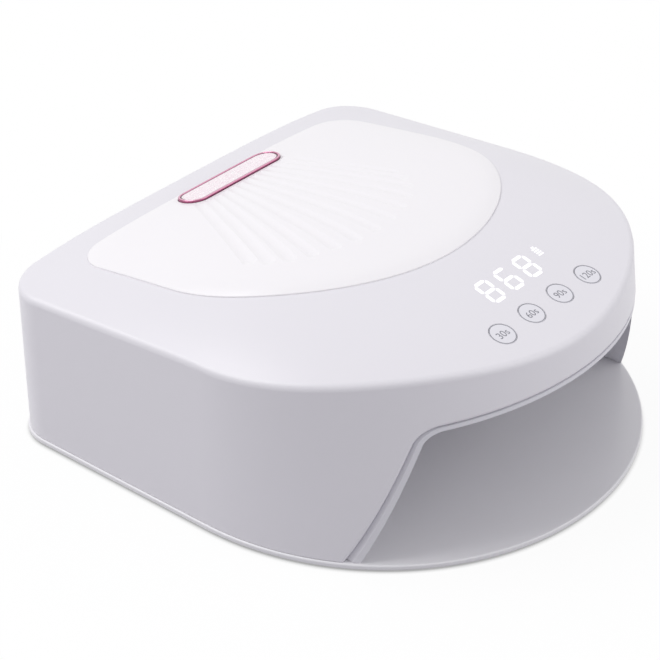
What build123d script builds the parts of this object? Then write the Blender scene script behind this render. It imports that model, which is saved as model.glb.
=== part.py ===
from build123d import *
from math import atan2, cos, hypot, radians, sin, sqrt, tan
import os

# A cordless nail lamp: a D-shaped white shell over a hand chamber lined with LED beads,
# on a base tray that magnets hold. The front, with the hand opening, faces -Y. Millimetres.
# The origin is the centre of the footprint, on the surface that the feet stand on.

# Plan outline of the body at its lower edge
half_width = 114.5
side_flare = 1.2
half_depth = 114.6
side_start = -1.2
nose_fullness_low = 0.56
nose_fullness_high = 0.53
fullness_height = 77.0
corner_radius = 21.0
front_draft = 7.7
side_draft = 0.3

# Top surface of the shell: a shallow dome above a rim that drops a little to the rear
rim_height = 79.3
rim_slope = 0.062
crown_dome = 18.5
crown_side_power = 3.6
crown_rear_start = -10.0
crown_rear_power = 1.6
crown_rear_share = 0.3
crown_front_start = 15.9
crown_front_fall = 26.3
crown_stations = 24
crown_margin = 12.0
crown_tolerance = 0.01
surface_degrees = (3, 5)
edge_radius = 3.2
rim_level = 70.0
mouth_room = 40.0
mouth_round = 1.4

# Walls and general clearances
shell_wall = 2.6
liner_wall = 1.6
frame_thick = 2.2
seam_gap = 0.3
fit_gap = 0.2
board_thick = 1.6

# Base tray, its feet and the steel discs let into it
foot_stand = 0.8
foot_recess = 0.8
foot_radius = 8.0
foot_edge_round = 0.4
foot_side_room = 20.5
foot_front_room = 17.6
foot_rear_room = 23.6
foot_wing_y = -45.0
keeper_thick = 0.8
keeper_margin = 2.0
tray_thick = 2.4
tray_lip = 0.8
lamp_gap = 0.3
tray_edge_round = 0.7

# Hand opening, seen from the front
opening_side_room = 20.5
opening_lean = 21.1
opening_height = 57.9
opening_arch = 3.6
opening_corner = 9.0
rear_bay_depth = 37.6
liner_inset = 0.4
wall_cut = 12.0

# Screws, and the posts that take them
post_radius = 4.0
board_post_radius = 3.0
board_post_inset = 4.0
shell_screw_shank = 1.5
shell_screw_head = 2.8
shell_screw_head_thick = 1.2
shell_screw_sink = 1.4
shell_screw_grip = 8.0
screw_end_gap = 1.0
board_screw_shank = 1.1
board_screw_head = 2.1
board_screw_head_thick = 1.4
board_screw_grip = 5.0
side_post_room = 7.4
side_post_front = -28.0
side_post_rear_room = 15.0
rear_post_gap = 0.8
rear_post_room = 7.0
ear_width = 11.0
ear_thick = 2.4

# Fan-shaped top panel with its flutes and badge
panel_side_room = 26.9
panel_taper = 0.6
panel_side_length = 74.6
panel_side_pull = 43.0
panel_nose_pull = 50.0
panel_nose_room = 75.7
panel_rear_room = 17.0
panel_corner = 16.0
panel_seat = 1.2
panel_rise = 2.1
panel_step = 0.55
panel_soft_width = 13.0
panel_soft_power = 3
panel_wall = 1.9
panel_edge_round = 0.3
panel_gap = 0.06
panel_margin = 6.0
panel_stations = 50
panel_tolerance = 0.03
panel_outline_steps = 240
panel_peg = 1.6
panel_peg_reach = 1.0
panel_peg_rooms = [(52.5, 96.6), (46.5, 36.6)]
flute_count = 13
flute_radius = 7.0
flute_start_depth = 0.2
flute_left_depth = 0.8
flute_right_depth = 0.26
flute_steps = 6
flute_start_half = 28.0
flute_end_x = -13.0
flute_end_half = 49.0
flute_end_reach = 34.0
flute_end_turn = 80.0
flute_nose_gap = 32.5
badge_length = 60.4
badge_width = 15.0
badge_rear_room = 27.9
badge_rim = 1.1
badge_edge_round = 0.4
badge_pad = 3.8
badge_seat = 1.4
badge_stand = 1.2
inlay_below_rim = 0.4
inlay_gap = 0.12

# Timer keys in the shell's front edge
key_count = 4
key_pitch = 19.68
key_room = 30.7
key_radius = 5.62
key_gap = 0.2
key_travel = 0.6
key_flange = 1.2
key_flange_thick = 1.0
key_stem = 1.9
key_flange_drop = 2.0

# Key board under the front of the shell, with switches and the number display
key_board_drop = 10.8
key_board_half = 44.0
key_board_ahead = 8.6
key_board_behind = 30.9
switch_size = 6.2
switch_height = 3.6
plunger_radius = 1.7
plunger_bore_gap = 0.25
plunger_stand = 1.0
plunger_spare = 0.4
key_post_x = 40.5
key_post_rows = (10.9, 27.4)
figures_shown = ("abcdefg", "acdefg", "abcdefg")
digit_pitch = 12.8
digit_width = 8.5
digit_height = 13.4
digit_stroke = 1.7
digit_gap = 0.32
digit_slant = 6.0
digit_x = 0.3
digit_room = 18.8
icon_x = 24.9
icon_rise = 3.0
icon_width = 3.3
icon_height = 4.6
icon_bar_count = 4
icon_bar_gap = 0.5
icon_cap_width = 1.6
icon_cap_height = 0.8
icon_cap_gap = 0.4
display_margin = 1.5
display_gap = 0.3

# LED beads and their boards
bead_radius = 2.6
bead_hole_gap = 0.3
bead_collar = 3.4
bead_collar_thick = 1.0
bead_flatness = 0.6
bead_stand = 1.2
top_board_room = 3.4
top_board_side_room = 17.4
top_board_front_room = 3.0
top_board_rear_room = 7.0
top_bead_count_x = 5
top_bead_count_y = 4
top_bead_margin_x = 13.0
top_bead_margin_y = 15.5
side_board_length = 104.0
side_board_height = 30.0
board_offset = 3.2
board_pad_radius = 2.0
board_pad_inset = 3.5
side_board_rear_room = 19.0
side_board_z = 27.0
side_bead_pitch = 26.0
side_bead_rise = 14.0
side_bead_count = 4
rear_board_half = 45.0
rear_board_height = 28.0
rear_board_z = 34.0
rear_bead_count = 3
rear_bead_pitch = 30.0
sensor_half_pitch = 8.0
sensor_room = 7.0
sensor_depth = 1.0
sensor_radius = 1.9

# Battery, socket and main board in the rear compartment
cell_radius = 9.2
cell_length = 65.0
cell_end_room = 12.9
cell_room = 3.2
cell_pitch = 19.6
cell_lift = 2.4
cell_edge_round = 0.8
cradle_wall = 2.0
cradle_floor = 1.6
cradle_front_room = 1.0
cradle_rear_cut = 4.0
saddle_width = 6.0
saddle_height = 3.0
main_board_clearance = 6.3
main_board_half = 62.0
main_board_room = 2.0
main_board_depth = 19.5
main_post = 5.0
main_parts = [(-44.0, 12.0, 12.0, 7.0), (-17.0, 10.0, 10.0, 1.4), (14.0, 8.0, 8.0, 5.0)]
socket_z = 20.6
socket_width = 9.0
socket_length = 13.0
socket_nose = 3.9
socket_bore = 2.8
socket_bore_depth = 9.0
socket_pin_radius = 1.0
socket_pin_length = 8.0
socket_skirt = 1.0
socket_plate = 14.0
stand_leg = 3.0
stand_base = 1.5
stand_rear_room = 2.0

# Magnets in the bottom frame
magnet_radius = 4.0
magnet_thick = 1.6
magnet_floor = 0.4
magnet_side_room = 10.0
magnet_side_ahead = 57.0
magnet_rear_side_room = 41.5
magnet_rear_room = 8.5

# Leads
lead_radius = 1.1
ribbon_radius = 1.4
lead_rise = 6.1
lead_column = 30.0
lead_board_inset = 6.0
lead_stub = 8.0
lead_bend_share = 0.45
side_lead_turns = [(24.5, -12.0, 50.0), (28.5, 10.0, 60.0)]
side_lead_drop = 12.0
socket_lead_share = 0.46
socket_lead_room = 19.6
socket_lead_stub = 10.0
socket_lead_gap = 0.3
battery_lead_x = 8.0
battery_lead_y = 4.0
battery_lead_stub = 7.0
battery_lead_drop = 12.0

# Levels and places that follow from the sizes above
tray_low = foot_stand
tray_top = tray_low + tray_thick
body_low = tray_top + lamp_gap
frame_top = body_low + frame_thick
chamber_top = body_low + opening_height + opening_arch
opening_half_foot = half_width - opening_side_room
chamber_back = half_depth - rear_bay_depth
chamber_slope = opening_lean / opening_height
key_y = -half_depth + key_room
digit_y = key_y + digit_room
icon_y = digit_y + icon_rise
panel_side_start = half_depth - panel_side_length
panel_peg_spots = [
    (side * (half_width - room_x), half_depth - room_y)
    for room_x, room_y in panel_peg_rooms for side in (-1, 1)
]
key_board_front = key_y - key_board_ahead
key_board_rear = key_y + key_board_behind
key_board_posts = [(x, key_y + row) for x in (-key_post_x, key_post_x) for row in key_post_rows]
badge_y = half_depth - badge_rear_room
top_board_z = chamber_top + liner_wall + top_board_room
top_bead_tip = chamber_top - bead_stand
top_board_rear = chamber_back - top_board_rear_room
top_board_front = key_board_rear + top_board_front_room
top_board_half = opening_half_foot - opening_lean - top_board_side_room
top_bead_pitch_x = 2 * (top_board_half - top_bead_margin_x) / (top_bead_count_x - 1)
top_bead_length = top_board_rear - top_board_front - 2 * top_bead_margin_y
top_bead_pitch_y = top_bead_length / (top_bead_count_y - 1)
sensor_row = top_board_front + sensor_room
side_post_x = half_width - shell_wall - side_post_room
side_post_rear = chamber_back - side_post_rear_room
side_board_y = chamber_back - side_board_rear_room - side_board_length / 2
magnet_side_y = chamber_back - magnet_side_ahead
magnet_rear_x = half_width - magnet_rear_side_room
cell_inner_end = half_width - shell_wall - cell_end_room - cell_length
rear_post_x = cell_inner_end - fit_gap - cradle_wall - rear_post_gap - post_radius
rear_post_y = half_depth - shell_wall - rear_post_room
cell_y = half_depth - shell_wall - cell_room - cell_radius
cell_low = frame_top + cradle_floor + cell_lift + cell_radius
cell_high = cell_low + cell_pitch
socket_lead_x = -socket_lead_share * (cell_inner_end - battery_lead_x)
main_board_z = cell_high + cell_radius + main_board_clearance
main_board_front = chamber_back + liner_wall + main_board_room
main_board_rear = main_board_front + main_board_depth
main_board_middle = (main_board_front + main_board_rear) / 2
socket_board_top = socket_z - socket_width / 2 - socket_skirt
foot_spots = [
    (-half_width + foot_side_room, foot_wing_y), (half_width - foot_side_room, foot_wing_y),
    (-half_width + foot_side_room, half_depth - foot_rear_room),
    (half_width - foot_side_room, half_depth - foot_rear_room),
    (0.0, -half_depth + foot_front_room),
]
magnet_spots = [
    (-half_width + magnet_side_room, magnet_side_y), (half_width - magnet_side_room, magnet_side_y),
    (-magnet_rear_x, chamber_back + liner_wall + magnet_rear_room),
    (magnet_rear_x, chamber_back + liner_wall + magnet_rear_room),
]

# Level above the whole lamp, for cuts that run right out of it
sky = 130.0


def outline(inset, z, rise=0.0):
    """D-shaped wire at height z, drawn in by inset; rise is its height above the lower edge."""
    half = half_width - inset - rise * tan(radians(side_draft))
    wide = half + side_flare
    front = -(half_depth - inset - rise * tan(radians(front_draft)))
    back = half_depth - inset
    radius = corner_radius - inset
    fullness = nose_fullness_low + (nose_fullness_high - nose_fullness_low) * rise / fullness_height
    pull = fullness * (side_start - front)
    lean = pull * side_flare / (half_depth - side_start)
    rear = FilletPolyline(
        (half, side_start, z), (wide, back, z), (-wide, back, z), (-half, side_start, z),
        radius=radius,
    )
    nose = fullness * half
    left = Bezier(
        (-half, side_start, z), (-half + lean, side_start - pull, z), (-nose, front, z), (0, front, z)
    )
    right = Bezier(
        (0, front, z), (nose, front, z), (half - lean, side_start - pull, z), (half, side_start, z)
    )
    return Wire([*rear.edges(), *left.edges(), *right.edges()])


def walls(inset, low):
    """Solid inside the leaning walls, drawn in by inset, from a height up past the crown."""
    wires = [outline(inset, z, z - body_low) for z in (low, sky)]
    return Solid.make_loft(wires, ruled=True)


def crown_height(x, y, shift=0.0):
    """Height of the shell's top surface at a point, moved by shift."""
    across = 1 - abs(x / half_width) ** crown_side_power
    rear = max(0.0, (y - crown_rear_start) / (half_depth - crown_rear_start))
    along = 1 - (1 - crown_rear_share) * rear ** crown_rear_power
    front = max(0.0, (crown_front_start - y) / (crown_front_start + half_depth))
    rim = rim_height - rim_slope * y
    return rim + crown_dome * across * along - crown_front_fall * front ** 2 + shift


def below_surface(height, half, front, rear, stations, tolerance, shift):
    """Solid below a top surface that is given by a height formula, moved by shift."""
    rows = []
    for i in range(stations):
        x = -half + 2 * half * i / (stations - 1)
        rows.append([
            Vector(x, y, height(x, y, shift))
            for y in [front + (rear - front) * j / (stations - 1) for j in range(stations)]
        ])
    low_degree, high_degree = surface_degrees
    top = Face.make_surface_from_array_of_points(
        rows, tol=tolerance, min_deg=low_degree, max_deg=high_degree
    )
    return extrude(top, sky, dir=(0, 0, -1))


def crown(shift=0.0):
    """Solid below the domed top surface, moved up or down by shift."""
    half = half_width + crown_margin
    reach = half_depth + crown_margin
    return below_surface(
        crown_height, half, -reach, reach, crown_stations, crown_tolerance, shift
    )


# The key board hangs under the crown, which is level enough over it
key_board_z = crown_height(0, key_y) - shell_wall - key_board_drop


def block(x0, x1, y0, y1, z0, z1):
    """Box between two corners."""
    return Pos((x0 + x1) / 2, (y0 + y1) / 2, (z0 + z1) / 2) * Box(x1 - x0, y1 - y0, z1 - z0)


def rod(x, y, z0, z1, radius):
    """Upright cylinder between two heights."""
    return Pos(x, y, (z0 + z1) / 2) * Cylinder(radius, z1 - z0)


def upright(face, low, high):
    """Prism of a plan face between two heights."""
    return extrude(Pos(0, 0, low) * face, high - low)


def opening_profile(grow=0.0):
    """Front view of the hand chamber, grown outward by grow: leaning sides and an arched top."""
    side = grow / cos(atan2(chamber_slope, 1))
    foot = opening_half_foot + side + chamber_slope * body_low
    top_z = body_low + opening_height + grow
    top = foot - chamber_slope * top_z
    sides = Polyline((top, top_z), (foot, 0), (-foot, 0), (-top, top_z))
    arch = ThreePointArc((-top, top_z), (0, top_z + opening_arch), (top, top_z))
    face = make_face([*sides.edges(), *arch.edges()])
    corners = face.vertices().group_by(Axis.Y)[-1]
    return fillet(corners, opening_corner + grow)


def tunnel(grow, y0, y1):
    """Hand chamber as a solid running from y0 back to y1."""
    profile = Plane.XZ * opening_profile(grow)
    return Pos(0, y1, 0) * extrude(profile, y1 - y0)


def panel_outline(inset=0.0):
    """Plan outline of the fan-shaped panel, drawn in by inset, as a list of edges."""
    half = half_width - panel_side_room - inset
    front = -half_depth + panel_nose_room + inset
    back = half_depth - panel_rear_room - inset
    rear = FilletPolyline(
        (half, panel_side_start), (half, back), (-half, back), (-half, panel_side_start),
        radius=panel_corner - inset,
    )
    left = Bezier(
        (-half, panel_side_start), (-half + panel_taper, panel_side_start - panel_side_pull),
        (-panel_nose_pull, front), (0, front),
    )
    right = Bezier(
        (0, front), (panel_nose_pull, front),
        (half - panel_taper, panel_side_start - panel_side_pull), (half, panel_side_start),
    )
    return [*rear.edges(), *left.edges(), *right.edges()]


def panel_face(inset=0.0):
    """Plan of the panel, drawn in by inset."""
    return make_face(panel_outline(inset))


def outline_points(edges, steps):
    """Plan points spread along an outline, in order."""
    wire = Wire(edges)
    points = [wire.position_at(i / steps) for i in range(steps)]
    return [(point.X, point.Y) for point in points]


panel_points = outline_points(panel_outline(), panel_outline_steps)


def panel_depth(x, y):
    """How far a point lies inside the panel's outline; negative outside it."""
    nearest = sky
    inside = False
    for (ax, ay), (bx, by) in zip(panel_points, panel_points[1:] + panel_points[:1]):
        along = ((x - ax) * (bx - ax) + (y - ay) * (by - ay)) / ((bx - ax) ** 2 + (by - ay) ** 2)
        along = min(1.0, max(0.0, along))
        nearest = min(nearest, hypot(ax + along * (bx - ax) - x, ay + along * (by - ay) - y))
        if (ay > y) != (by > y) and x < ax + (y - ay) * (bx - ax) / (by - ay):
            inside = not inside
    return nearest if inside else -nearest


def panel_height(x, y, shift=0.0):
    """Height of the panel's top, which rises from a small step at its edge like a cushion."""
    share = min(1.0, panel_depth(x, y) / panel_soft_width)
    if share > 0:
        swell = 1 - (1 - share) ** panel_soft_power
    else:
        swell = panel_soft_power * share
    return crown_height(x, y, panel_step + (panel_rise - panel_step) * swell + shift)


def panel_top(shift=0.0):
    """Solid below the panel's top surface, moved up or down by shift."""
    half = half_width - panel_side_room + panel_margin
    front = -half_depth + panel_nose_room - panel_margin
    rear = half_depth - panel_rear_room + panel_margin
    return below_surface(
        panel_height, half, front, rear, panel_stations, panel_tolerance, shift
    )


def pill(length, width):
    """Plan of a bar with round ends."""
    return Pos(0, badge_y) * SlotOverall(length, width)


def key_spots():
    """Plan position of each timer key, from left to right."""
    return [((i - (key_count - 1) / 2) * key_pitch, key_y) for i in range(key_count)]


def slant_bar(x, y, width, height):
    """Plan bar with pointed ends, leaning with the digits, about its centre."""
    lean = tan(radians(digit_slant))
    half_w, half_h = width / 2, height / 2
    if width > height:
        corners = [(half_w, 0), (half_w - half_h, half_h), (half_h - half_w, half_h)]
    else:
        corners = [(0, half_h), (-half_w, half_h - half_w), (-half_w, half_w - half_h)]
    corners += [(-dx, -dy) for dx, dy in corners]
    return [(x + dx + (y + dy) * lean, y + dy) for dx, dy in corners]


def digit_faces(segments, centre):
    """Seven-segment figure as plan faces; segments names the lit bars."""
    w = (digit_width - digit_stroke) / 2
    h = (digit_height - digit_stroke) / 2
    across = 2 * (w - digit_gap)
    along = h - 2 * digit_gap
    bars = {
        "a": (0, h, across, digit_stroke), "g": (0, 0, across, digit_stroke),
        "d": (0, -h, across, digit_stroke),
        "b": (w, h / 2, digit_stroke, along), "c": (w, -h / 2, digit_stroke, along),
        "f": (-w, h / 2, digit_stroke, along), "e": (-w, -h / 2, digit_stroke, along),
    }
    faces = []
    for name in segments:
        corners = [(centre + x, digit_y + y) for x, y in slant_bar(*bars[name])]
        faces.append(make_face(Polyline(*corners, close=True).edges()))
    return faces


def figure_faces():
    """Plan faces of the lit bars of the three figures."""
    faces = []
    for place, segments in enumerate(figures_shown):
        faces += digit_faces(segments, digit_x + (place - 1) * digit_pitch)
    return faces


def icon_faces():
    """Battery sign beside the figures: the level bars in its case, and its cap."""
    lean = tan(radians(digit_slant))
    pitch = (icon_height + icon_bar_gap) / icon_bar_count
    bars = []
    for i in range(icon_bar_count):
        low = -icon_height / 2 + i * pitch
        bars.append((icon_width / 2, low, low + pitch - icon_bar_gap))
    cap_low = icon_height / 2 + icon_cap_gap
    bars.append((icon_cap_width / 2, cap_low, cap_low + icon_cap_height))
    faces = []
    for half, low, high in bars:
        corners = [(-half, low), (half, low), (half, high), (-half, high)]
        points = [(icon_x + x + y * lean, icon_y + y) for x, y in corners]
        faces.append(make_face(Polyline(*points, close=True).edges()))
    return faces


def side_plane(side):
    """Plane on the outer face of the liner's side wall; its Z points away from the hand."""
    lean = atan2(chamber_slope, 1)
    out = liner_wall / cos(lean)
    x = opening_half_foot + out - chamber_slope * (side_board_z - body_low)
    normal = (side * cos(lean), 0, sin(lean))
    return Plane(origin=(side * x, side_board_y, side_board_z), x_dir=(0, 1, 0), z_dir=normal)


def side_bead_places():
    """Centre of each LED bead on a side board, in that board's own plane."""
    places = []
    for row in (-0.5, 0.5):
        for i in range(side_bead_count):
            along = (i - (side_bead_count - 1) / 2) * side_bead_pitch
            places.append((along, row * side_bead_rise))
    return places


def top_bead_spots():
    """Plan position of each LED bead over the chamber."""
    middle = (top_board_front + top_board_rear) / 2 + bead_collar
    spots = []
    for i in range(top_bead_count_x):
        x = (i - (top_bead_count_x - 1) / 2) * top_bead_pitch_x
        for j in range(top_bead_count_y):
            spots.append((x, middle + (j - (top_bead_count_y - 1) / 2) * top_bead_pitch_y))
    return spots


def top_board_screw_spots():
    """Plan position of the four screws of the LED board over the chamber."""
    spots = []
    for x in (-top_board_half + board_post_inset, top_board_half - board_post_inset):
        for y in (top_board_front + board_post_inset, top_board_rear - board_post_inset):
            spots.append((x, y))
    return spots


def rear_bead_columns():
    """X of each LED bead in the chamber's back wall."""
    return [(i - (rear_bead_count - 1) / 2) * rear_bead_pitch for i in range(rear_bead_count)]


def bead(tip, seat):
    """LED bead standing down from seat to tip: a collar under the board and a domed lens."""
    shoulder = tip + bead_radius * bead_flatness
    lens = rod(0, 0, shoulder, seat, bead_radius)
    dome = Pos(0, 0, shoulder) * scale(Sphere(bead_radius), by=(1, 1, bead_flatness))
    collar = rod(0, 0, seat - bead_collar_thick, seat, bead_collar)
    return lens + dome + collar


def make_tray():
    """Base tray that the hand rests on, with pockets for the feet and the steel discs."""
    tray = extrude(make_face(outline(-tray_lip, tray_low).edges()), tray_thick)
    rims = tray.edges().group_by(Axis.Z)
    tray = fillet(rims[-1] + rims[0], tray_edge_round)
    for x, y in foot_spots:
        tray -= rod(x, y, 0, tray_low + foot_recess, foot_radius + fit_gap)
    for x, y in magnet_spots:
        tray -= rod(x, y, tray_top - keeper_thick, sky, magnet_radius + keeper_margin + fit_gap)
    return tray


def make_feet():
    """Rubber pads under the tray."""
    feet = []
    for x, y in foot_spots:
        pad = rod(x, y, 0, tray_low + foot_recess, foot_radius)
        feet.append(fillet(pad.edges().group_by(Axis.Z)[0], foot_edge_round))
    return Compound(feet)


def make_keepers():
    """Steel discs in the tray, opposite the magnets."""
    low = tray_top - keeper_thick
    radius = magnet_radius + keeper_margin
    return Compound([rod(x, y, low, tray_top, radius) for x, y in magnet_spots])


def screw_spots():
    """Plan position of the six posts that the shell screws go up into."""
    spots = []
    for side in (-1, 1):
        spots.append((side * side_post_x, side_post_front))
        spots.append((side * side_post_x, side_post_rear))
        spots.append((side * rear_post_x, rear_post_y))
    return spots


def post_foot(x):
    """Height where a shell post ends: on a liner ear at the sides, on the frame at the rear."""
    return frame_top + ear_thick if abs(x) > rear_post_x else frame_top


def mouth_edges(solid):
    """Edges of the hand opening on the outer wall: in front, below the rim, above the lower edge."""
    edges = []
    for edge in solid.edges():
        box = edge.bounding_box()
        if box.max.Y < -mouth_room and body_low + seam_gap < box.max.Z < rim_level:
            edges.append(edge)
    return edges


def make_shell():
    """Outer housing: a moulded cup with the hand opening cut in its front."""
    solid = walls(0, body_low) & crown()
    top_edges = [e for e in solid.edges() if e.bounding_box().min.Z > rim_level]
    solid = fillet(top_edges, edge_radius)
    mouth = tunnel(liner_wall + seam_gap, -sky, 0)
    solid -= mouth
    solid = fillet(mouth_edges(solid), mouth_round)
    hollow = walls(shell_wall, body_low - seam_gap) & crown(-shell_wall)
    shell = solid - hollow
    inside = walls(shell_wall / 2, body_low) & crown(-shell_wall / 2)
    posts = [rod(x, y, post_foot(x), sky, post_radius) for x, y in screw_spots()]
    posts += [rod(x, y, key_board_z + board_thick, sky, board_post_radius) for x, y in key_board_posts]
    for post in posts:
        shell += (post & inside) - mouth
    for x, y in screw_spots():
        shell -= rod(x, y, 0, post_foot(x) + shell_screw_grip, shell_screw_shank)
    for x, y in key_board_posts:
        shell -= rod(x, y, 0, key_board_z + board_thick + board_screw_grip, board_screw_shank)
    shell -= upright(panel_face(), body_low, sky) - crown(-panel_seat)
    for x, y in panel_peg_spots:
        shell -= rod(x, y, key_board_z, sky, panel_peg + fit_gap)
    for x, y in key_spots():
        shell -= rod(x, y, key_board_z, sky, key_radius + key_gap)
    for face in figure_faces() + icon_faces():
        shell -= upright(face, key_board_z, sky)
    nose = Pos(0, half_depth, socket_z) * Rot(90, 0, 0) * Cylinder(socket_nose + fit_gap, wall_cut)
    return shell - nose


def make_frame():
    """Bottom frame: the U-shaped floor of the side and rear compartments."""
    plan = make_face(outline(shell_wall + fit_gap, body_low).edges())
    frame = extrude(plan, frame_thick)
    frame -= tunnel(liner_wall + fit_gap, -sky, chamber_back + liner_wall + fit_gap)
    frame = max(frame.solids(), key=lambda s: s.volume)
    for x, y in screw_spots():
        frame -= rod(x, y, 0, sky, shell_screw_shank + fit_gap)
        frame -= rod(x, y, 0, body_low + shell_screw_sink, shell_screw_head + fit_gap)
    for x, y in magnet_spots:
        frame -= rod(x, y, body_low + magnet_floor, sky, magnet_radius + fit_gap)
    return frame


def make_magnets():
    """Disc magnets in the frame's pockets."""
    low = body_low + magnet_floor
    return Compound([rod(x, y, low, low + magnet_thick, magnet_radius) for x, y in magnet_spots])


def make_liner():
    """Chamber liner: the white reflector that the hand sits in, with holes for the LED beads."""
    back = chamber_back
    liner = tunnel(liner_wall, -sky, back + liner_wall) - tunnel(0, -sky - liner_wall, back)
    liner &= walls(liner_inset, body_low)
    keep = tunnel(liner_wall / 2, -sky, back)
    room = walls(shell_wall + liner_inset, body_low)
    inner = opening_half_foot - chamber_slope * opening_height / 2
    for x, y in screw_spots():
        if abs(x) > rear_post_x:
            ends = sorted((inner if x > 0 else -inner, x + (post_radius if x > 0 else -post_radius)))
            front, rear = y - ear_width / 2, y + ear_width / 2
            ear = block(ends[0], ends[1], front, rear, frame_top, frame_top + ear_thick)
            liner += (ear & room) - keep - rod(x, y, 0, sky, shell_screw_shank + fit_gap)
    middle = body_low + opening_height / 2
    for x, y in top_board_screw_spots():
        liner += rod(x, y, middle, top_board_z, board_post_radius) - keep
        liner -= rod(x, y, top_board_z - board_screw_grip, sky, board_screw_shank)
    for x, y in top_bead_spots():
        liner -= rod(x, y, middle, sky, bead_radius + bead_hole_gap)
    for x in (-sensor_half_pitch, sensor_half_pitch):
        liner -= rod(x, sensor_row, middle, sky, sensor_radius + bead_hole_gap)
    hole = Cylinder(bead_radius + bead_hole_gap, wall_cut)
    for side in (-1, 1):
        plane = side_plane(side)
        for u, v in side_bead_places():
            liner -= plane * Pos(u, v, 0) * hole
    for x in rear_bead_columns():
        liner -= Pos(x, back, rear_board_z) * Rot(90, 0, 0) * hole
    return liner


def make_panel():
    """Fan-shaped top panel, seated in the shell and standing proud, with flutes from the badge."""
    body = (upright(panel_face(panel_gap), body_low, sky) & panel_top()) - crown(-panel_seat)
    rim = [e for e in body.edges() if above_crown(e, panel_step / 2)]
    body = fillet(rim, panel_edge_round)
    for start, end, depth in flute_lines():
        bar, ball = flute(start, end, depth)
        body = body - bar - ball
    under = upright(panel_face(fit_gap + panel_wall), body_low, sky) & panel_top(-panel_wall)
    body -= under - upright(pill(badge_length + badge_pad, badge_width + badge_pad), body_low, sky)
    for x, y in panel_peg_spots:
        low = crown_height(x, y, -shell_wall - panel_peg_reach)
        body += rod(x, y, low, panel_height(x, y, -panel_wall / 2), panel_peg)
    seat = upright(pill(badge_length + 2 * fit_gap, badge_width + 2 * fit_gap), body_low, sky)
    return body - (seat - panel_top(-badge_seat))


def above_crown(edge, shift):
    """Whether an edge's middle lies higher than the shell's top surface moved by shift."""
    middle = edge.position_at(0.5)
    return middle.Z > crown_height(middle.X, middle.Y, shift)


def badge_front(x):
    """Y of the badge's front outline at x."""
    radius = badge_width / 2
    past = max(0.0, abs(x) - (badge_length / 2 - radius))
    return badge_y - sqrt(radius ** 2 - past ** 2)


def flute_lines():
    """Plan start, plan end and end depth of each flute, from the badge's front edge to an oval arc.

    The fan leans to the left and its flutes get shallower to the right.
    """
    lines = []
    for i in range(flute_count):
        share = 2 * i / (flute_count - 1) - 1
        start_x = share * flute_start_half
        turn = radians(share * flute_end_turn)
        end_x = flute_end_x + flute_end_half * sin(turn)
        end_y = -half_depth + panel_nose_room + flute_nose_gap + flute_end_reach * (1 - cos(turn))
        depth = flute_left_depth + (flute_right_depth - flute_left_depth) * (share + 1) / 2
        lines.append(((start_x, badge_front(start_x)), (end_x, end_y), depth))
    return lines


def flute(start, end, end_depth):
    """Round bar, bent to follow the panel, that cuts one flute, with a ball for its far end."""
    spots = []
    for i in range(flute_steps + 1):
        share = i / flute_steps
        x = start[0] + share * (end[0] - start[0])
        y = start[1] + share * (end[1] - start[1])
        depth = flute_start_depth + share * (end_depth - flute_start_depth)
        spots.append((x, y, panel_height(x, y, flute_radius - depth)))
    path = Spline(*spots)
    bar = sweep(Plane(origin=path @ 0, z_dir=path % 0) * Circle(flute_radius), path=path)
    return bar, Pos(path @ 1) * Sphere(flute_radius)


def make_badge_rim():
    """Metal rim of the badge, standing proud of the panel."""
    outer = upright(pill(badge_length, badge_width), body_low, sky)
    inner = upright(pill(badge_length - 2 * badge_rim, badge_width - 2 * badge_rim), body_low, sky)
    ring = (outer & panel_top(badge_stand)) - inner - panel_top(-badge_seat)
    edges = [e for e in ring.edges() if above_crown(e, panel_rise + badge_stand / 2)]
    return fillet(edges, badge_edge_round)


def make_inlay():
    """Glitter insert inside the badge's rim."""
    room = 2 * (badge_rim + inlay_gap)
    body = upright(pill(badge_length - room, badge_width - room), body_low, sky)
    return (body & panel_top(badge_stand - inlay_below_rim)) - panel_top(-badge_seat)


def key_flange_top(x):
    """Height of a key's flange, just under the shell."""
    return crown_height(x, key_y, -shell_wall) - key_flange_drop


def plunger_top():
    """Height where a key's stem meets its switch plunger."""
    return key_board_z + board_thick + switch_height + plunger_stand


def make_key(x):
    """Push cap flush with the shell, with a flange that keeps it in and a stem to its switch."""
    flange_top = key_flange_top(x)
    cap = rod(x, key_y, flange_top - key_flange_thick / 2, sky, key_radius) & crown()
    flange = rod(x, key_y, flange_top - key_flange_thick, flange_top, key_radius + key_flange)
    stem = rod(x, key_y, plunger_top(), flange_top - key_flange_thick / 2, key_stem)
    return cap + flange + stem


def make_plunger(x):
    """Switch plunger that the key's stem presses."""
    low = plunger_top() - plunger_stand - switch_height / 2
    return rod(x, key_y, low, plunger_top(), plunger_radius)


def make_switches():
    """Four tact switches on the key board."""
    low = key_board_z + board_thick
    half = switch_size / 2
    switches = []
    for x, y in key_spots():
        body = block(x - half, x + half, y - half, y + half, low, low + switch_height)
        well = low + switch_height / 2 - key_travel - plunger_spare
        switches.append(body - rod(x, y, well, sky, plunger_radius + plunger_bore_gap))
    return Compound(switches)


def make_key_board():
    """Circuit board that carries the switches and the number display."""
    board = block(
        -key_board_half, key_board_half, key_board_front, key_board_rear,
        key_board_z, key_board_z + board_thick,
    )
    board &= walls(shell_wall + liner_inset, body_low)
    for x, y in key_board_posts:
        board -= rod(x, y, 0, sky, board_screw_shank + fit_gap)
    return board


def display_sides():
    """Left, right, front and rear of the display block, a margin round the figures and the sign."""
    lean = tan(radians(digit_slant)) * digit_height / 2
    left = digit_x - digit_pitch - digit_width / 2 - lean - display_margin
    right = icon_x + icon_width / 2 + lean + display_margin
    depth = digit_height / 2 + display_margin
    return left, right, digit_y - depth, digit_y + depth


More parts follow.
